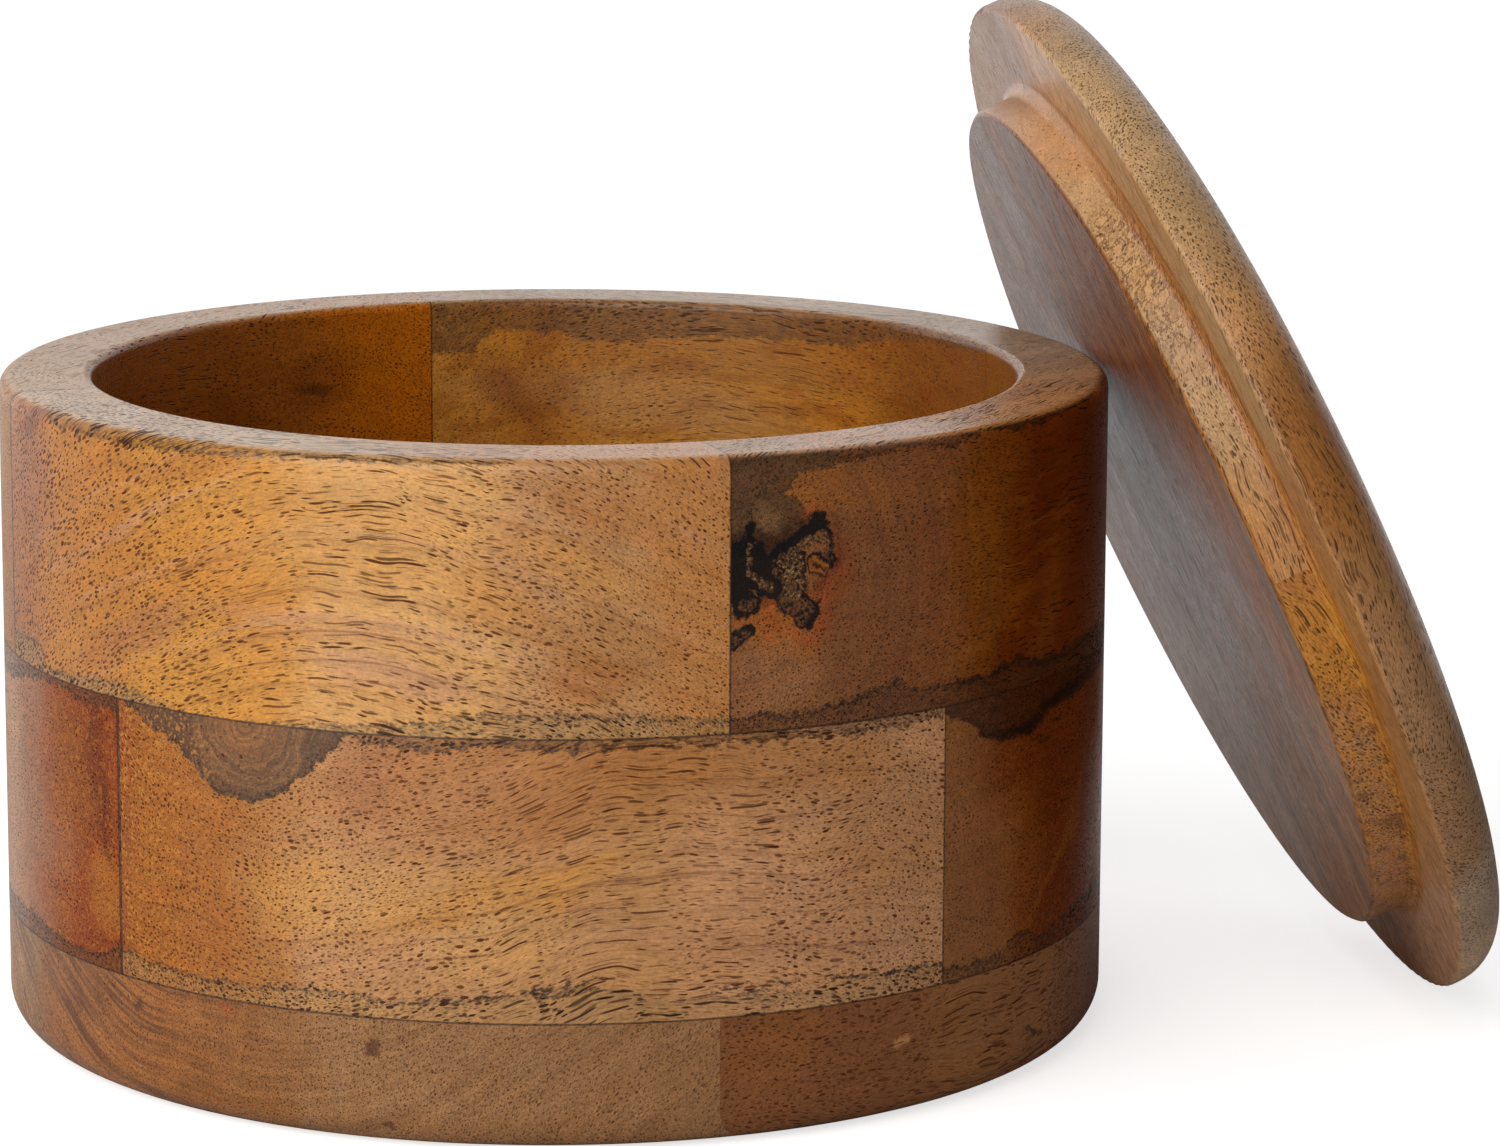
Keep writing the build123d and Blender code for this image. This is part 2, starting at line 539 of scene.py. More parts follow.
def top_front(wood):
    wood.ground([
        (-76, "russet"), (-66, "russet"), (-60, "sienna"), (-50, "sienna"), (-42, "honey"), (-30, "honey"),
        (-21, "straw"), (-8, "straw"), (-2, "tan"), (6, "tan"), (11, "toast"), (17, "toast"),
    ])
    wood.swell = wood.by_angle(-30, -55) * 0.3 + 1.0 - wood.by_angle(-6, 10) * 0.18
    wood.run = wood.by_angle(-4, 12) * 0.5 + wood.run
    wood.fines -= wood.by_angle(-36, -56) * 0.4
    wood.clear = wood.smooth(abs(wood.angle + 20.0), 18.0, 2.0) * 0.28
    wood.patches([
        ("gold", (-42, 52), (12, 4), 15, 0.6), ("copper", (-52, 53), (12, 9), 15, 0.12),
        ("gold", (-31, 51.5), (5, 5), 0, 0.5), ("honey", (-22, 57), (12, 4), -5, 0.5),
        ("gold", (-6, 52), (5, 3), -20, 0.45), ("honey", (2, 55), (6, 2), -25, 0.4),
        ("pink_tan", (-22, 49), (13, 1.2), -2, 0.4), ("pink_tan", (-15, 45), (8, 1.6), -8, 0.7),
        ("pink_tan", (-43, 58.0), (10, 0.5), 22, 0.5), ("plum", (-42, 57.5), (9, 0.25), 22, 0.3),
        ("pink_tan", (-55, 52), (12, 0.6), 28, 0.3), ("rose", (-46, 46), (8, 2.0), 24, 0.5),
        ("rose", (-64, 57), (5, 6), 20, 0.5), ("amber", (5, 48), (6, 3), -15, 0.25),
        ("copper", (3, 45), (4, 2), 0, 0.5), ("copper", (4, 61), (5, 3), -20, 0.35),
        ("copper", (-40, 62.5), (10, 1.2), 8, 0.5), ("plum", (-65, 64), (4, 1.2), 35, 0.6),
    ])
    add_figure(wood, [
        (64.0, "copper", 0.3), (56.5, "rust", 0.28), (57.4, "pink_tan", 0.7), (47.9, "rust", 0.35),
        (49.2, "pink_tan", 1.0), (45.0, "rust", 0.25), (51.5, "amber", 0.5), (61.0, "amber", 0.4),
        (70.0, "copper", 0.3), (74.0, "rose", 0.6), (42.8, "amber", 0.4), (66.5, "pink_tan", 0.6),
    ], 0.42)
    wood.stain([
        (-74, 65.6), (-63, 65.2), (-59, 64), (-52, 63.7), (-38, 63.9), (-31, 64.2), (-25, 64.5),
        (-8, 64.7), (0, 65.6), (17, 66),
    ], 1, "olive", share=0.35)
    wood.stain([
        (-74, 42), (-64, 42), (-62, 40.3), (-56, 40.3), (-50, 40.8), (-44, 40.2), (-36, 39.0),
        (-26, 39.6), (-20, 40.1), (-12, 40.8), (-5, 41.8), (6, 41.5), (17, 40.8),
    ], -1, "pale_grey")


def knot(wood):
    """A bark inclusion at the end of the block: a black rind, crumbly cores and a reddened rim."""
    grey = wood.strokes([
        ((15.0, 63.4), (21.5, 63.2), 1.9), ((15.0, 60.6), (20.6, 60.6), 2.0),
        ((20.6, 60.4), (23.4, 59.4), 1.2), ((16.0, 57.6), (21.4, 57.2), 1.7),
        ((22.0, 64.0), (27.0, 64.4), 0.9),
    ])
    strands = wood.streaks(2.6, 2.2, 9.0, 4.0, 0.7)
    wood.patches([
        ("copper", (22, 49.2), (4.0, 2.4), -12, 0.8, 0.6), ("clay", (26.6, 52), (2.4, 5.0), -14, 0.6, 0.6),
        ("copper", (24.2, 61.4), (2.4, 1.6), -30, 0.6, 0.6),
    ])
    wood.paint("grey_brown", grey * 0.85)
    wood.paint("fawn", grey * wood.blob((21.0, 60.0), (1.8, 1.2), -20, 0.6) * 0.45)
    wood.paint("soot", wood.smooth(strands, 0.50, 0.62) * grey * 0.55)
    wood.paint("char", wood.strokes([
        ((17.0, 57.2), (21.6, 56.8), 0.8, 0.9), ((21.6, 57.0), (25.0, 59.0), 0.3, 0.9),
    ]) * 0.8)
    glow = wood.strokes([
        ((24.9, 59.4), (26.4, 59.8), 0.3, 0.9), ((27.4, 54.6), (26.8, 52.6), 0.2, 0.9),
        ((21.0, 51.6), (20.6, 48.4), 0.6, 1.0), ((21.2, 49.2), (24.8, 47.6), 0.4, 1.0),
        ((26.2, 51.6), (26.2, 48.8), 0.2, 0.9), ((17.4, 49.8), (18.6, 49.4), 0.3, 0.3),
    ])
    wood.paint("ember", glow * wood.spread(wood.noise(wood.place, 0.9, 3.0, 0.65), 0.3, 1.0) * 0.6)
    wood.paint("rust", wood.strokes([
        ((27.6, 58.2), (28.2, 56.2), 0.15, 0.9), ((28.2, 56.2), (27.8, 54.0), 0.15, 0.8),
        ((27.0, 53.4), (26.2, 52.4), 0.3, 0.7), ((20.2, 51.4), (21.6, 51.0), 0.1, 0.4),
    ]) * 0.6)
    rind = wood.strokes([
        ((18.8, 59.8), (18.8, 58.2), 0.08), ((18.8, 58.4), (18.5, 56.8), 0.55),
        ((17.6, 56.2), (17.3, 52.2), 1.1), ((19.2, 56.2), (20.0, 54.4), 0.95),
        ((20.0, 54.8), (23.0, 56.6), 0.75), ((23.0, 56.6), (25.8, 58.6), 0.7),
        ((25.8, 58.6), (27.2, 57.4), 0.4), ((27.2, 57.4), (27.5, 54.2), 0.2),
        ((22.9, 55.2), (23.0, 52.2), 1.5), ((22.6, 51.8), (24.6, 50.2), 1.45),
        ((24.6, 50.4), (25.0, 48.8), 0.4), ((25.6, 54.5), (26.4, 54.3), 1.0),
        ((18.2, 53.4), (20.8, 52.8), 0.75), ((17.6, 50.9), (19.4, 51.2), 0.85),
        ((17.2, 47.8), (18.6, 48.9), 0.55), ((20.0, 52.2), (21.2, 51.8), 0.4),
        ((20.4, 54.2), (21.4, 52.8), 0.5), ((17.8, 52.4), (19.0, 51.8), 0.5),
    ])
    wood.paint("black", rind * 0.97)
    cores = wood.strokes([
        ((18.6, 56.8), (18.6, 54.2), 0.25), ((18.6, 54.2), (20.6, 52.8), 0.38),
        ((22.0, 55.2), (24.2, 56.4), 0.4), ((24.2, 56.4), (26.4, 57.2), 0.4),
        ((26.6, 57.2), (27.0, 55.6), 0.28), ((22.8, 54.8), (23.2, 52.6), 1.1),
    ])
    lobe = wood.strokes([
        ((22.6, 51.4), (24.4, 50.2), 1.0), ((18.0, 50.9), (19.2, 51.1), 0.4),
        ((17.2, 47.9), (18.2, 48.6), 0.25),
    ])
    lumps = wood.noise(wood.place, 1.7, 3.0, 0.65)
    crumbs = wood.noise(wood.place, 3.3, 4.0, 0.75)
    wood.paint("umber", wood.smooth(lumps, 0.42, 0.56) * lobe * 0.9)
    wood.paint("grey_brown", wood.smooth(lumps, 0.40, 0.52) * cores * 0.95)
    wood.paint("walnut", wood.smooth(crumbs, 0.47, 0.55) * wood.math("MAXIMUM", cores, lobe * 0.4) * 0.85)
    wood.paint("wheat", wood.smooth(crumbs, 0.57, 0.63) * wood.math("MAXIMUM", cores, lobe * 0.25) * 0.75)
    wood.paint("black", wood.smooth(crumbs, 0.47, 0.40) * wood.math("MAXIMUM", cores, lobe) * 0.85)
    wood.paint("copper", wood.stroke((25.6, 54.4), (26.4, 54.2), 0.65) * 0.8)
    wood.paint("char", wood.stroke((25.4, 54.6), (26.6, 54.0), 0.16, 0.3) * 0.95)
    wood.clear = rind


def scratches(wood, place, size, turn, share):
    """Fine pale sanding scratches inside an ellipse."""
    inputs = {
        0: wood.join(wood.angle, wood.z, 0.0),
        1: (*place, 0.0),
        2: (0.0, 0.0, radians(turn)),
        3: (9.0, 0.16, 1.0),
    }
    lines = wood.noise(wood.node("ShaderNodeMapping", 0, inputs, vector_type="TEXTURE"), 1.0, 1.0)
    wood.paint("wheat", wood.smooth(lines, 0.66, 0.72) * wood.blob(place, size) * share)


def top_right(wood):
    wood.ground([
        (15, "bark"), (22, "saddle"), (29, "bark"), (40, "cocoa"), (46, "bay"), (50, "treacle"),
        (57, "treacle"), (68, "treacle"), (78, "bark"), (98, "amber"), (107, "amber"),
    ])
    wood.sheen -= wood.by_angle(40, 50) * wood.by_angle(84, 74) * 0.36
    wood.patches([
        ("rose", (21, 44.5), (6, 3.5), 20, 0.5), ("copper", (30, 61), (7, 2), -10, 0.5),
        ("amber", (47, 46), (9, 1.4), 18, 0.45), ("amber", (48.5, 54), (4, 9), -10, 0.55, 0.6),
        ("amber", (60, 47), (2.5, 8), -24, 0.35, 0.7), ("rust", (55, 57), (4, 6), 0, 0.4),
    ])
    away = wood.distance(wood.angle - 18.0, wood.z - 52.0)
    rings = wood.noise(wood.join(away * 0.7, wood.drift * 2.0, 0.0), 1.0, 3.0, 0.6)
    wood.paint("umber", wood.smooth(rings, 0.50, 0.64) * 0.28)
    wood.paint("russet", wood.smooth(rings, 0.48, 0.36) * wood.by_angle(50, 40) * 0.22)
    streaks = wood.streaks(7.0, 0.6, 11.0, 3.0, 0.6)
    wood.paint("amber", wood.smooth(streaks, 0.5, 0.66) * wood.blob((56, 50), (15, 12)) * 0.35)
    wood.stain([
        (15, 64.4), (20, 64.2), (25, 64.2), (30, 63.9), (36, 64.3), (41, 63.9), (48, 64.7), (55, 64.2),
        (60, 64.6), (107, 65),
    ], 1, "umber")
    wood.stain([
        (15, 40.9), (24, 41), (28, 41.2), (33, 42.5), (35, 42.7), (37, 41.7), (44, 41.5), (50, 41.6),
        (53, 42.3), (57, 41.2), (70, 41), (107, 41),
    ], -1, "umber", share=0.6, grains=0.9)
    wood.paint("dark", wood.stained * wood.by_angle(41, 48) * 0.45)
    lumps = wood.strokes([
        ((43.4, 41.2), (46.4, 41.3), 0.2, 0.4), ((48.4, 41.5), (51, 41.9), 0.2, 0.4),
        ((51.6, 42.0), (53.6, 42.5), 0.15, 0.4), ((54.6, 41.5), (58, 41.0), 0.2, 0.4),
        ((58.6, 41.1), (66, 41.2), 0.3, 0.5), ((66, 41.3), (76, 41.4), 0.3, 0.5),
    ])
    wood.paint("soot", lumps * 0.8)
    knot(wood)
    scratches(wood, (21.5, 45), (4.5, 3), -62, 0.5)
    scratches(wood, (33, 44.5), (3, 2), -55, 0.4)
    scratches(wood, (40, 45), (3, 2), -60, 0.35)


def middle_left(wood):
    wood.ground([
        (-139, "hazel"), (-90, "rose"), (-76, "pink_tan"), (-68, "rose"), (-61, "brick"), (-59, "brick"),
        (-56, "clay"), (-48, "clay"),
    ])
    wood.sheen -= wood.by_angle(-66, -58) * 0.3
    wood.patches([
        ("amber", (-56.5, 30), (4, 6), 10, 0.5), ("gold", (-50, 20), (3.5, 3.5), 0, 0.4),
        ("rust", (-52.5, 33), (2.0, 7), 8, 0.5), ("rust", (-50, 27), (1.5, 5), 12, 0.5),
        ("rose", (-61, 23), (5, 3), 0, 0.4),
    ])
    speckle(wood, "gold", 0.35)
    wood.stain([
        (-139, 37), (-80, 36.5), (-72, 37.2), (-66, 38.2), (-60, 38.6), (-54, 38), (-48, 38.2),
    ], 1, "grey_brown")
    wood.stain([
        (-139, 14.5), (-80, 14.5), (-70, 14.7), (-60, 13.8), (-53, 13.6), (-50, 15), (-48, 15.2),
    ], -1, "grey_brown")


def middle_front(wood):
    wood.ground([
        (-49, "brick"), (-45, "copper"), (-36, "copper"), (-30, "caramel"), (-24, "tan"), (-18, "tan"),
        (-12, "tan"), (-4, "tan"), (8, "tan"), (16, "cream"), (28, "cream"), (42, "cream"),
    ])
    wood.sheen -= wood.by_angle(-36, -46) * 0.18
    wood.patches([
        ("copper", (-6, 35), (20, 6), 6, 0.55), ("caramel", (22, 36), (14, 4), -4, 0.6),
        ("honey", (-6, 24.5), (13, 2.0), 14, 0.6), ("straw", (-20, 24), (9, 3), 10, 0.5),
        ("pink_tan", (20, 19), (18, 1.5), -5, 0.7), ("pink_tan", (-18, 17.5), (10, 1.5), 0, 0.35),
        ("honey", (-25, 24), (5, 4), 20, 0.4), ("pink_tan", (-14, 32), (10, 2.0), 20, 0.25),
        ("rose", (-19, 35), (4, 4), 30, 0.4), ("straw", (-5, 20), (6, 3), 10, 0.5),
        ("caramel", (36, 27), (8, 6), 0, 0.3),
    ])
    speckle(wood, "honey", wood.soft_angle() * -0.03 - 0.75)
    add_figure(wood, [
        (19.2, "rust", 0.35), (17.1, "rust", 0.2), (15.5, "rust", 0.2), (24.5, "rust", 0.22),
        (12.4, "rust", 0.2), (28, "rust", 0.2), (21.4, "amber", 0.3),
    ], 0.3)
    wood.stain([
        (-20, 40), (-18, 38.3), (-12, 38), (-5, 38.8), (-1, 38.2), (6, 38.3), (20, 38.4), (30, 38.2),
        (42, 38.4),
    ], 1, "grey_brown", share=0.5)
    heartwood(wood)
    speckled = wood.curve(wood.angle, [
        (-49, 1.0), (-20, 0.9), (-14, 0.45), (4, 0.4), (8, 0.2), (14, 0.3), (20, 0.6), (26, 0.3),
        (34, 0.7), (42, 0.7),
    ])
    wood.stain([
        (-49, 15.4), (-44, 14.7), (-38, 14.3), (-30, 14.4), (-22, 14.9), (-15, 14.3), (-11, 14.5),
        (-5, 15.2), (0, 15.9), (6, 15.9), (9, 14.6), (20, 14.6), (27, 14.2), (31, 15), (36, 14.8),
        (42, 14.6),
    ], -1, "pale_grey", border=0.7, share=0.45, grains=speckled)
    ink = wood.strokes([
        ((-15, 14.2), (-7, 15.0), 0.14), ((-11, 14.1), (-2, 15.6), 0.16), ((-6, 14.9), (3, 16.4), 0.18),
        ((-2, 15.0), (4, 16.0), 0.12), ((1, 16.4), (6, 16.9), 0.12), ((15, 15.2), (19, 15.6), 0.2),
        ((19, 14.8), (24, 15.4), 0.18), ((27, 15.2), (31, 15.0), 0.16), ((33, 14.9), (42, 14.5), 0.2),
    ])
    broken = wood.streaks(3.0, 2.4, 17.0, 3.0, 0.65)
    wood.paint("soot", ink * wood.smooth(broken, 0.42, 0.56) * 0.85)


def heartwood(wood):
    """The half round of ringed brown wood at the block's upper edge, with its dark border."""
    depth = wood.rise([
        (-48.5, 39.4), (-46, 38.6), (-43, 37.3), (-41, 36.6), (-39, 35.3), (-37, 33.6), (-35, 32.4),
        (-33, 31.8), (-31, 31.8), (-28.5, 32.6), (-26, 34), (-24, 35.6), (-22, 37.4), (-20, 39.1),
        (-18, 40), (42, 42),
    ])
    inside = wood.smooth(depth, -0.1, 0.15)
    sag = wood.spread(wood.noise(wood.place, 0.3, 2.0), -0.7, 0.7)
    away = wood.distance(wood.angle + 31.2, wood.z - 39.6) + sag
    wood.paint("walnut", inside * 0.95)
    broad = wood.noise(wood.join(away, wood.drift * 3.0, 0.0), 1.0, 2.0, 0.6)
    fine = wood.noise(wood.join(away * 3.0, wood.drift * 5.0, 0.0), 1.0, 2.0, 0.6)
    wood.layers(inside, [
        ("saddle", away, 6.0, 2.0, 0.85), ("grey_brown", away, 6.0, 9.0, 0.5),
        ("umber", broad, 0.48, 0.56, 0.25), ("dark", abs(broad - 0.5), 0.05, 0.01, 0.35),
        ("umber", fine, 0.5, 0.6, 0.35),
    ])
    wood.paint("hazel", wood.smooth(fine, 0.46, 0.36) * inside * wood.smooth(away, 8.0, 5.0) * 0.35)
    dust = wood.noise(wood.place, 4.0, 3.0, 0.7)
    wood.layers(inside, [("dark", dust, 0.52, 0.64, 0.35), ("tan", dust, 0.44, 0.34, 0.3)])
    crumbs = wood.noise(wood.place, 3.4, 3.0, 0.7)
    line = wood.smooth(depth, 0.7, 0.25) * inside
    border = wood.smooth(depth, 2.2, 0.3) * inside
    wood.paint("soot", wood.smooth(crumbs, 0.44, 0.56) * line * 0.8)
    wood.paint("soot", wood.smooth(crumbs, 0.50, 0.58) * border * 0.5)
    flecks = wood.smooth(wood.noise(wood.place, 2.4, 2.0), 0.54, 0.60)
    wood.paint("caramel", flecks * wood.blob((-40, 36.5), (6, 3.5), -35, 0.5) * 0.9)
    wood.clear = inside * 0.85


def middle_right(wood):
    wood.ground([
        (41, "saddle"), (50, "saddle"), (55, "bay"), (59, "treacle"), (69, "treacle"), (80, "bark"),
        (105, "saddle"), (132, "hazel"),
    ])
    wood.sheen -= wood.by_angle(46, 54) * wood.by_angle(84, 76) * 0.4
    side = wood.by_angle(43, 51) * wood.by_angle(80, 70)
    wood.paint("treacle", side * wood.by_height(27, 33) * 0.95)
    wood.patches([
        ("rust", (56, 31), (7, 4.5), 0, 0.45, 0.6), ("bark", (50, 21), (9, 4), 0, 0.35),
        ("brick", (50, 26), (8, 16), 0, 0.3, 0.6),
    ])
    speckle(wood, "russet", 0.3, 2.4)
    wood.patches([
        ("amber", (62, 21), (9, 0.6), 42, 0.5, 0.6), ("amber", (66, 26), (8, 0.5), 48, 0.4, 0.6),
    ])
    wood.stain([
        (41, 38.4), (44, 37.6), (47, 35.6), (50, 34.8), (54, 34.5), (57.5, 34.9), (59.5, 36.0),
        (64, 36.2), (70, 36.6), (132, 38),
    ], 1, "char", border=1.2, share=0.65, grains=0.7)
    patch = wood.strokes([
        ((46.6, 36.0), (50, 35.3), 0.1, 0.5), ((50, 35.3), (54, 35.0), 0.3, 0.5),
        ((54, 35.1), (57.4, 35.7), 0.4, 0.6), ((58, 36.7), (62, 36.9), 0.4, 0.6),
        ((62, 37.1), (67, 37.3), 0.5, 0.6), ((67, 37.4), (72, 37.8), 0.3, 0.6),
    ])
    wood.paint("dark", wood.stained * 0.4)
    wood.paint("black", patch * 0.8)
    marks = wood.strokes([
        ((55.4, 34.0), (57.6, 33.6), 0.12), ((57.2, 33.2), (59.4, 33.1), 0.1),
        ((60.6, 34.9), (62.4, 35.0), 0.1),
    ])
    wood.paint("black", marks * 0.8)
    wood.stain([
        (41, 14), (48, 13.8), (52, 15), (55, 15.4), (58, 14.2), (63, 14.8), (78, 15.5), (132, 15),
    ], -1, "umber", share=0.5, grains=0.9)


def board_places(wood):
    """The place across the board, blurred unevenly, and the distance from its middle."""
    blur = wood.spread(wood.streaks(7.0, 0.1, 15.0, 2.0), -6.0, 6.0)
    return wood.v + blur, wood.distance(wood.u, wood.v)


def board_faces(wood, tones):
    """The floor inside the pot and the underside: tones across the board, and no glue line."""
    across, radius = board_places(wood)
    floor = wood.smooth(radius, 48.0, 46.5) * wood.by_height(11.0, 12.4)
    faces = wood.math("MAXIMUM", floor, wood.by_height(0.3, 0.05))
    wood.paint(wood.tones(across, tones), faces)
    growth_lines(wood, "umber", 1.6, faces * 0.45)
    growth_lines(wood, "bark", 0.7, faces * 0.35)
    wood.unglued = floor


def base_wide(wood):
    wood.ground([
        (-180, "fawn"), (-76, "tan"), (-69, "taupe"), (-62, "saddle"), (-52, "saddle"), (-30, "saddle"),
        (-22, "fawn"), (-8, "fawn"), (4, "fawn"), (16, "fawn"), (60, "hazel"), (120, "fawn"),
    ])
    wood.paint("russet", wood.blob((-49, 7), (13, 9)) * 0.45)
    growth_lines(wood, "umber", 1.3, wood.by_angle(-24, -46) * 0.5 + 0.2)
    growth_lines(wood, "umber", 0.75, wood.by_angle(-28, -42) * 0.35 + 0.1)
    wood.patches([
        ("umber", (-18, 9.5), (1.0, 0.8), 0, 0.9, 0.4), ("umber", (-46, 10), (0.7, 0.5), 0, 0.8, 0.4),
        ("umber", (-16.5, 2.2), (0.7, 0.4), 0, 0.8, 0.4), ("ember", (-34, 11.6), (0.8, 0.5), 0, 0.5, 0.5),
    ], ragged=True)
    board_faces(wood, [
        (-56, "hazel"), (-34, "tan"), (-12, "hazel"), (4, "wheat"), (20, "hazel"), (36, "tan"),
        (56, "hazel"),
    ])


def base_narrow(wood):
    wood.ground([
        (10, "bark"), (22, "bark"), (34, "bark"), (46, "saddle"), (58, "saddle"), (68, "bark"), (90, "umber"),
    ])
    wood.paint("copper", wood.blob((22, 9), (5, 3)) * 0.25)
    wood.patches([
        ("tan", (36.3, 7.7), (1.0, 0.45), 12, 0.8, 0.3), ("dark", (56.5, 4.9), (1.6, 0.35), -20, 0.8, 0.4),
    ], ragged=True)
    board_faces(wood, [(36, "saddle"), (46, "hazel"), (56, "saddle")])


def golden_inside(wood):
    wood.ground([
        (106, "amber"), (124, "amber"), (138, "gold"), (156, "honey"), (172, "honey"), (182, "gold"),
        (197, "honey"),
    ])
    flames = wood.streaks(3.0, 0.35, 13.0, 3.0, 0.6)
    wood.paint("clay", wood.smooth(flames, 0.48, 0.60) * 0.35)
    # Painted shade: the inside wall darker towards its top, over most of the block
    wood.paint("cocoa", wood.by_height(54, 59) * wood.by_angle(186, 172) * 0.35)
    wood.patches([
        ("clay", (185, 55), (2.2, 5), -40, 0.5, 0.6), ("tan", (168, 54), (22, 3), 6, 0.5),
        ("cocoa", (187, 56), (1.6, 5), -50, 0.4, 0.5), ("amber", (183, 54), (5, 4), -30, 0.4),
    ])
    wood.stain([
        (106, 64), (128, 63.4), (140, 61.6), (150, 61.6), (165, 61.2), (172, 60.4), (180, 61.4),
        (188, 61.6), (191, 59.6), (197, 59.2),
    ], 1, "walnut", share=0.8, grains=0.15)


def dark_inside(wood):
    wood.ground([
        (196, "syrup"), (206, "syrup"), (218, "copper"), (250, "copper"), (287, "caramel"),
    ])
    wood.sheen = 0.3
    wood.patches([
        ("rust", (214, 57), (6, 3), 0, 0.3), ("treacle", (230, 52), (8, 6), 0, 0.3),
        ("dark", (215, 56.5), (3.0, 0.6), 0, 0.5),
    ])


def middle_back(wood):
    wood.ground([
        (131, "hazel"), (148, "tan"), (166, "honey"), (184, "tan"), (204, "toast"), (222, "hazel"),
    ])
    wood.patches([
        ("gold", (158, 29), (10, 4), 12, 0.5), ("straw", (186, 22), (12, 3), -10, 0.5),
        ("rose", (206, 30), (8, 5), 15, 0.45), ("copper", (140, 20), (7, 5), 0, 0.4),
    ])
    add_figure(wood, [
        (36.0, "copper", 0.3), (31.5, "rust", 0.3), (27.0, "amber", 0.4), (22.5, "rust", 0.25),
        (17.5, "copper", 0.35),
    ], 0.4)
    wood.stain([
        (131, 38), (142, 37.4), (155, 38.6), (172, 39.0), (190, 38.2), (206, 37.0), (214, 37.6),
        (222, 38),
    ], 1, "grey_brown", share=0.5)
    wood.stain([(131, 14.6), (150, 13.8), (170, 13.2), (196, 14.4), (222, 14.8)], -1, "pale_grey", share=0.5)


def lid_tones(wood, spigot, edge, top):
    """Tones by angle on the spigot's wall and the lid's edge, and across the board on its flat top."""
    turn = wood.soft_angle()
    wood.colour = wood.tones(turn, spigot)
    wood.paint(wood.tones(turn, edge), wood.by_height(0.2, -0.6))
    across, radius = board_places(wood)
    flat_top = wood.smooth(radius, 53.5, 48.0) * wood.by_height(-3.0, -5.5)
    wood.paint(wood.tones(across, top), flat_top)
    growth_lines(wood, "umber", 1.6, flat_top * 0.5)
    growth_lines(wood, "bark", 0.7, flat_top * 0.4)
    hollow = wood.smooth(abs(radius - 46.3), 1.3, 0.6) * wood.by_height(-0.4, 0.0)
    hollow = hollow * wood.by_height(1.2, 0.7)
    turned = wood.noise(wood.join(radius * 7.0, wood.angle * 0.06, wood.z * 7.0), 1.0, 2.0)
    wood.layers(hollow, [
        ("caramel", turn, -2, 14, 0.85), ("gold", turn, 14, -2, 0.85), ("bark", turned, 0.46, 0.60, 0.6),
    ])
    lid_face(wood)


def lid_face(wood):
    """The flat of the spigot: streaks along the boards, which differ in colour and in sheen, over a painted
    shade up its slope and a painted reflection down it.
    """
    face = wood.by_height(4.1, 4.5)
    wide = wood.streaks(12.0, 0.22, 5.0, 3.0, 0.6)
    thin = wood.streaks(22.0, 1.6, 6.0, 3.0, 0.65)
    across = wood.v + wood.spread(wide, -9.0, 9.0)
    tones = wood.tones(across, [
        (-45, "rose"), (-12, "rose"), (6, "brick"), (28, "brick"), (38, "copper"), (46, "saddle"),
    ])
    wood.paint(tones, face)
    # The umber up the slope and the tan down it are painted light: painted shade towards the top of the face,
    # a painted reflection towards its bottom; the rest are streaks along the boards
    wood.layers(face, [
        ("umber", wood.u, 8, 26, 0.5), ("tan", wood.u, 4, -32, 0.6), ("dark", wide, 0.5, 0.66, 0.4),
        ("russet", wide, 0.48, 0.34, 0.4), ("dark", thin, 0.5, 0.64, 0.45), ("tan", thin, 0.47, 0.34, 0.45),
    ])
    wood.paint("soot", wood.blob_at(2, 1, 0.9) * face * 0.5)
    dull = wood.smooth(across, 2, 22) * wood.smooth(wood.u, -14, 14) * face * 0.22
    uneven = wood.spread(thin, -0.22, 0.22) + wood.spread(wide, -0.12, 0.12)
    edge = wood.by_height(-0.2, -0.9) * wood.by_angle(-45, -20)
    edge = edge * wood.by_angle(130, 90)
    wood.sheen = uneven * face + wood.sheen - dull - edge * 0.2


def lid_wide(wood):
    wood.run = 0.7
    lid_tones(wood, [
        (-180, "tan"), (-90, "bark"), (-62, "pink_tan"), (-46, "pink_tan"), (-36, "tan"), (-20, "tan"),
        (-10, "caramel"), (-4, "caramel"), (24, "tan"), (33, "wheat"), (46, "oat"), (60, "oat"),
        (74, "pale"), (78, "pale"), (92, "bark"), (120, "hazel"), (180, "tan"),
    ], [
        # At the edge's lower end, about -58 to -40 degrees, the pale tones are a painted sheen
        (-180, "tan"), (-90, "bark"), (-58, "pale_sheen"), (-48, "dust"), (-40, "dust"), (-34, "taupe"),
        (-18, "taupe"), (44, "oat"), (62, "oat"), (72, "wheat"), (80, "tan"), (95, "saddle"),
        (120, "hazel"), (180, "tan"),
    ], [
        (-56, "tan"), (-40, "toast"), (-28, "hazel"), (-17, "tan"), (-4, "toast"), (6, "cream"),
        (18, "hazel"), (28, "tan"), (38, "toast"), (46, "tan"),
    ])
    turn = wood.soft_angle()
    spigot = wood.by_height(-0.4, 0.4) * wood.by_height(4.5, 4.2)
    wood.clear = spigot * wood.by_angle(24, 34) * 0.8
    low = wood.smooth(turn, -10, -20) * wood.smooth(turn, -130, -90)
    wood.paint("honey", spigot * wood.blob((-7, 0), (7, 60), 0, 0.3) * 0.7)
    wood.layers(spigot, [("tan", turn, 56, 66, 0.7)])
    mottle = wood.noise(wood.place, 0.55, 3.0, 0.65)
    wood.layers(spigot * low, [("honey", mottle, 0.50, 0.60, 0.6), ("umber", mottle, 0.47, 0.37, 0.45)])
    figure = wood.streaks(2.0, 0.9, 3.0, 3.0, 0.6)
    curls = abs(figure - 0.5)
    curled = spigot * wood.blob((43, 0), (13, 60), 0, 0.3)
    wood.layers(curled, [("umber", curls, 0.05, 0.01, 0.7), ("walnut", figure, 0.54, 0.64, 0.45)])


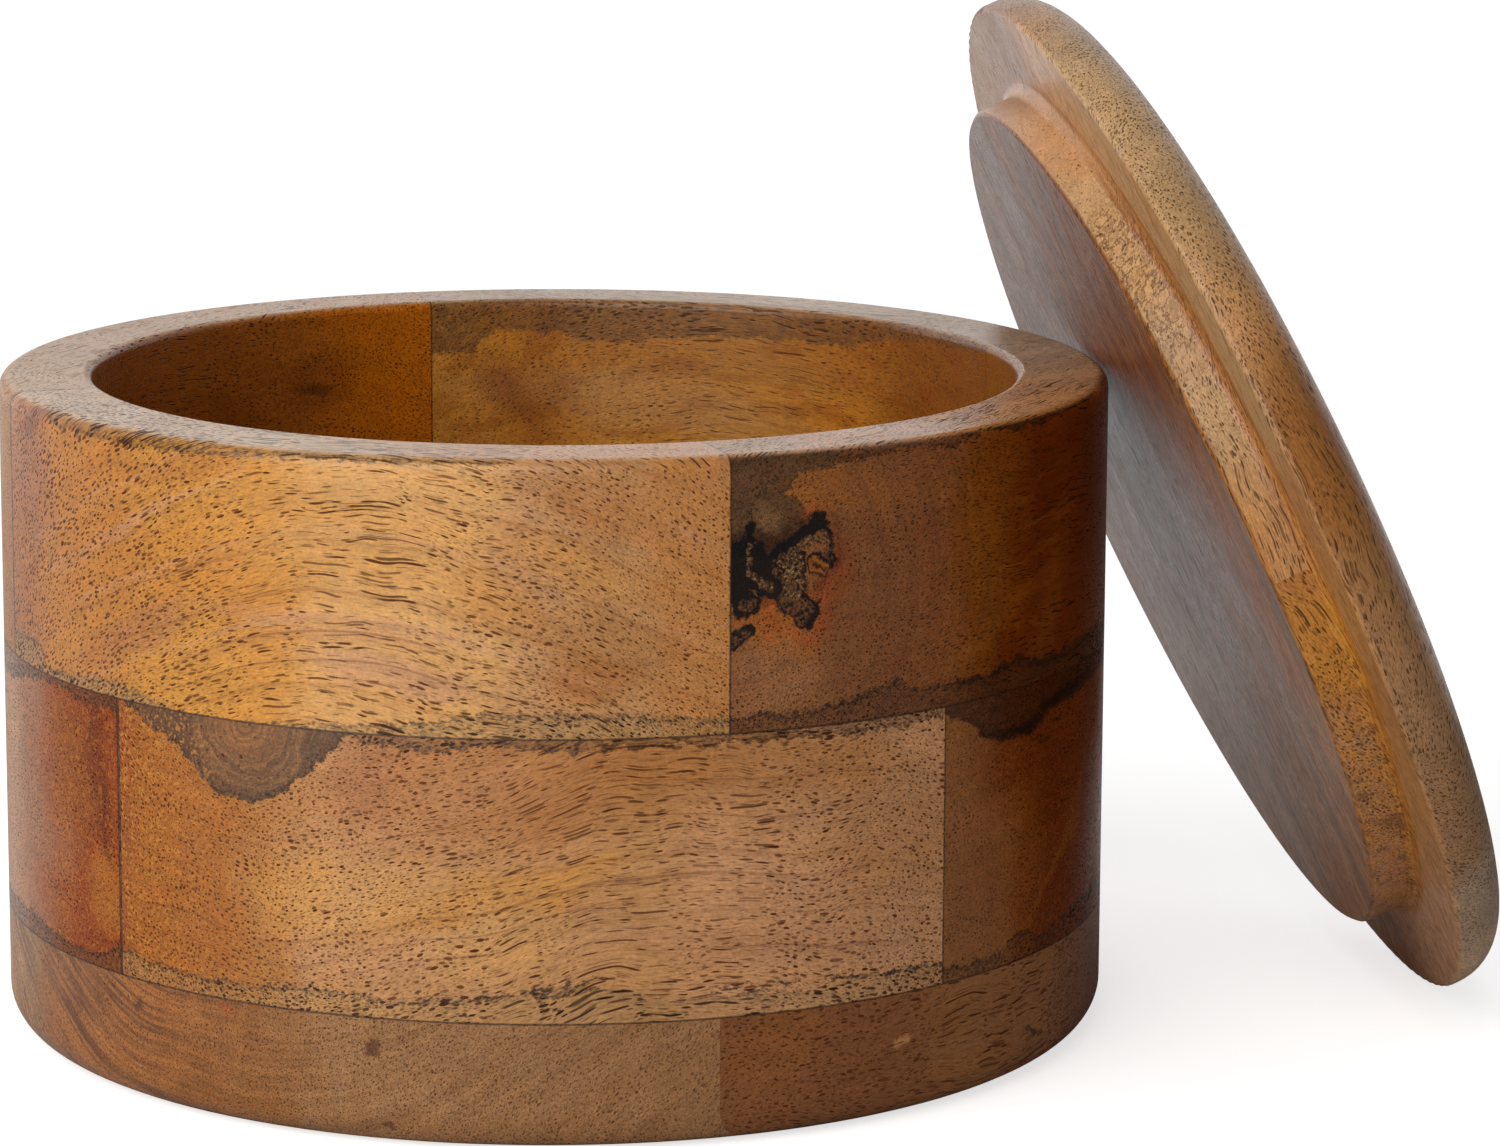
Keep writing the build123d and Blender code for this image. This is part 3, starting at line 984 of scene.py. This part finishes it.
def lid_narrow(wood):
    wood.run = 0.34
    lid_tones(wood, [
        (-22, "fawn"), (0, "tan"), (9, "tan"), (22, "wheat"), (32, "wheat"), (55, "tan"),
    ], [
        (-24, "taupe"), (-10, "taupe"), (0, "fawn"), (10, "saddle"), (18, "saddle"), (30, "tan"),
        (42, "wheat"), (56, "oat"),
    ], [
        (40, "wheat"), (47, "toast"), (52, "cream"), (56, "oat"),
    ])


POT = Vector((0, 0, 0)), Vector((0, -1, 0)), Vector((1, 0, 0)), Vector((0, 0, 1))
LID = lid_axes()
BASE, MIDDLE, TOP = COURSE_HEIGHTS[:1], COURSE_HEIGHTS, COURSE_HEIGHTS[1:]
FINE = {"cut_tone": "dark", "cut_size": 0.06, "crowd": 3.0, "coarse": 1.3, "depth": 0.9}
LID_FINISH = {"cut_tone": "dark", "cut_size": 0.08, "crowd": 3.0, "depth": 0.85}

# Each piece's painter, place, fibre angle, bow, seed, end joints, joint heights and finish
PIECES = {
    "top_front_block": (top_front, POT, -20, arch(0.0095), 1, (-73.2, 16.8), TOP, {}),
    "top_right_block": (top_right, POT, 62, arch(0.002), 2, (16.8, 106.8), TOP, FINE),
    "top_back_block": (
        golden_inside, POT, 152, arch(0.004), 3, (106.8, 196.8), TOP, {"cut_size": 0.08, "depth": 0.75},
    ),
    "top_left_block": (dark_inside, POT, 242, arch(0.003), 4, (196.8, 286.8), TOP, FINE),
    "middle_front_block": (middle_front, POT, 8, sway([
        (-49, 3.5), (-40, 0.6), (-32, 0), (-20, 1.2), (-10, 3), (0, 5.6), (10, 7.2), (20, 7), (30, 6),
        (42, 4.5),
    ]), 5, (-48.5, 41.5), MIDDLE, {}),
    "middle_right_block": (middle_right, POT, 86, arch(0.002), 6, (41.5, 131.5), MIDDLE, FINE),
    "middle_back_block": (middle_back, POT, 176, arch(0.003), 7, (131.5, 221.5), MIDDLE, {}),
    "middle_left_block": (middle_left, POT, -93, arch(0.002), 8, (-138.5, -48.5), MIDDLE, FINE),
    "base_wide_board": (
        base_wide, POT, 60, trough(0.012, -3), 9, (), BASE,
        {"cut_tone": "umber", "cut_size": 0.07, "crowd": 2.7, "coarse": 1.3},
    ),
    "base_narrow_board": (base_narrow, POT, 48, no_bow, 10, (), BASE, {}),
    "lid_wide_board": (lid_wide, LID, 8, trough(0.012, 4), 11, (), (), LID_FINISH),
    "lid_narrow_board": (lid_narrow, LID, 8, no_bow, 12, (), (), {**LID_FINISH, "cut_size": 0.07}),
}

for name, (paint, axes, fibre, bow, seed, ends, levels, options) in PIECES.items():
    wood = Wood(name, axes, fibre, bow, seed)
    paint(wood)
    if levels == TOP:
        # The rim's top is painted paler, as painted light and sheen
        painted_rim_light(wood)
    edges = [("angle", a) for a in ends] + [("height", h) for h in levels]
    material = finish_wood(wood, edges=edges, **options)
    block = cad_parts[name]
    block.data.materials.clear()
    block.data.materials.append(material)


def add_floor():
    """A sheet of pale paper that glows for the camera, so that it runs to white behind the object."""
    bpy.ops.mesh.primitive_plane_add(size=FLOOR_SPAN, location=(0, 0, -FLOOR_DROP))
    floor = bpy.context.object
    floor.name = "floor"
    material = bpy.data.materials.new("paper")
    material.use_nodes = True
    tree = Tree(material.node_tree)
    tree.nodes.clear()
    place = Value(tree, tree.nodes.new("ShaderNodeTexCoord").outputs["Object"])
    fibre = tree.noise(place, 900.0, 3.0)
    colour = tree.mix(fibre, PAPER_DARK, PAPER_PALE)
    path = tree.nodes.new("ShaderNodeLightPath").outputs
    sideways, behind = tree.split(place)
    # In gloss, the floor in front and at the lid's side is dim
    front = tree.smooth(behind, 0.06, -0.02) * tree.smooth(sideways, -0.12, 0.02)
    front = tree.math("MAXIMUM", front, tree.smooth(sideways, 0.085, 0.125) * tree.smooth(behind, 0.4, 0.2))
    front = front * Value(tree, path["Is Glossy Ray"]) * FRONT_DIM
    colour = tree.mix(front, colour, (0.0, 0.0, 0.0, 1.0))
    diffuse = tree.node("ShaderNodeBsdfDiffuse", 0, {"Color": colour})
    # In gloss, the floor further back and in the nook under the lid is bright
    backdrop = tree.smooth(behind, 0.1, 0.6) * BACKDROP_GLOW
    nook = abs(sideways - NOOK_PLACE)
    nook = tree.smooth(nook, 0.10, 0.06) * tree.smooth(behind, 0.02, 0.10) * NOOK_GLOW
    backdrop = tree.math("MAXIMUM", backdrop, nook) * Value(tree, path["Is Glossy Ray"])
    distance = tree.vector("LENGTH", place, output=1)
    glow = tree.smooth(distance, 0.25, 1.0) * FAR_GLOW + FLOOR_GLOW
    glow = tree.math("MAXIMUM", Value(tree, path["Is Camera Ray"]) * glow, backdrop)
    emission = tree.node("ShaderNodeEmission", 0, {"Strength": glow})
    both = tree.node("ShaderNodeAddShader", 0, (diffuse, emission))
    output = tree.nodes.new("ShaderNodeOutputMaterial")
    tree.links.new(both.socket, output.inputs["Surface"])
    floor.data.materials.append(material)


def add_lamp(name, azimuth, elevation, distance, size, power, target):
    """A square soft lamp, `azimuth` degrees round from the front towards +X."""
    a, e = radians(azimuth), radians(elevation)
    direction = Vector((sin(a) * cos(e), -cos(a) * cos(e), sin(e)))
    lamp = bpy.data.lights.new(name, "AREA")
    lamp.shape = "SQUARE"
    lamp.size = size
    lamp.energy = power
    holder = bpy.data.objects.new(name, lamp)
    bpy.context.scene.collection.objects.link(holder)
    holder.location = Vector(target) + direction * distance
    holder.rotation_euler = direction.to_track_quat("Z", "Y").to_euler()


def add_world():
    """A white backdrop behind the object, and a dim room on the camera's side."""
    world = bpy.data.worlds.new("studio")
    bpy.context.scene.world = world
    world.use_nodes = True
    tree = Tree(world.node_tree)
    tree.nodes.clear()
    path = tree.nodes.new("ShaderNodeLightPath").outputs
    direction = Value(tree, tree.nodes.new("ShaderNodeTexCoord").outputs["Generated"])
    behind = tree.smooth(tree.node("ShaderNodeSeparateXYZ", 1, (direction,)), 0.1, 0.6)
    shiny = tree.math("MAXIMUM", Value(tree, path["Is Glossy Ray"]), Value(tree, path["Is Transmission Ray"]))
    room = behind * (shiny * (1.0 - BACKDROP_LIGHT) + BACKDROP_LIGHT) + ROOM_LIGHT
    strength = tree.math("MAXIMUM", Value(tree, path["Is Camera Ray"]), room)
    background = tree.node("ShaderNodeBackground", 0, {"Color": (1, 1, 1, 1), "Strength": strength})
    output = tree.nodes.new("ShaderNodeOutputWorld")
    tree.links.new(background.socket, output.inputs["Surface"])


def add_camera():
    """The photo's camera, from the yaw, pitch and roll that fit its outlines."""
    yaw, pitch, roll = radians(CAMERA_YAW), radians(CAMERA_PITCH), radians(CAMERA_ROLL)
    forward = Vector((sin(yaw) * cos(pitch), cos(yaw) * cos(pitch), -sin(pitch)))
    right = Vector((cos(yaw), -sin(yaw), 0))
    up = right.cross(forward)
    rolled_right = right * cos(roll) + up * sin(roll)
    rolled_up = up * cos(roll) - right * sin(roll)
    camera = bpy.data.objects.new("camera", bpy.data.cameras.new("camera"))
    bpy.context.scene.collection.objects.link(camera)
    axes = Matrix((rolled_right, rolled_up, -forward)).transposed()
    camera.matrix_world = Matrix.Translation(CAMERA_PLACE) @ axes.to_4x4()
    camera.data.sensor_fit = "HORIZONTAL"
    camera.data.sensor_width = SENSOR_WIDTH
    camera.data.lens = LENS
    bpy.context.scene.camera = camera


add_floor()
add_lamp("key", azimuth=-37, elevation=30, distance=0.8, size=1.0, power=6.9, target=(0.01, 0, 0.04))
add_world()
add_camera()
bpy.context.scene.view_settings.view_transform = "Standard"
